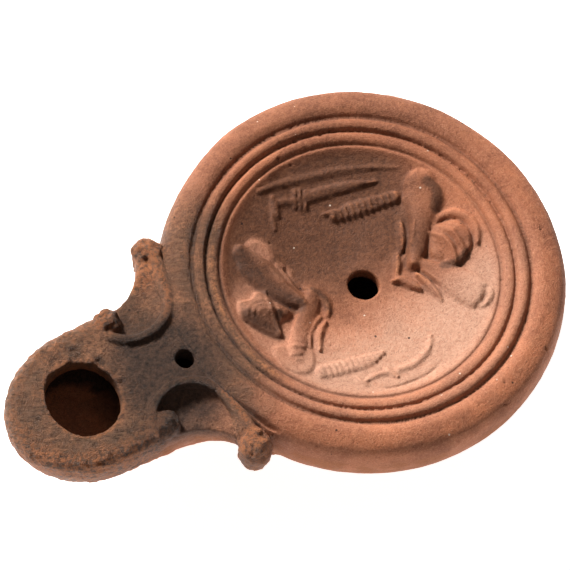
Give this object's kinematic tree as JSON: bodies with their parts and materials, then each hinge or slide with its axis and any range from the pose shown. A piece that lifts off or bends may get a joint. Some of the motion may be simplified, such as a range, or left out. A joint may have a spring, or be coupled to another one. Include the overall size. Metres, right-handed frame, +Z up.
{
  "type": "oil lamp",
  "caption": "Roman mould-made clay oil lamp: round body with a sunk relief discus and ring mouldings, a round-ended nozzle between two volutes, hollow inside.",
  "frame": {"origin": "centre of the flat base, on its underside, below the centre of the discus", "axes": "+X towards the nozzle's tip, +Z up through the discus, +Y to the nozzle's left seen from above with the nozzle pointing away"},
  "size_m": [0.1122, 0.0768, 0.0273],
  "materials": {
    "terracotta": "matte red-brown slip, worn, sooted round the nozzle"
  },
  "bodies": {
    "root": {"lamp": "terracotta"}
  },
  "joints": []
}
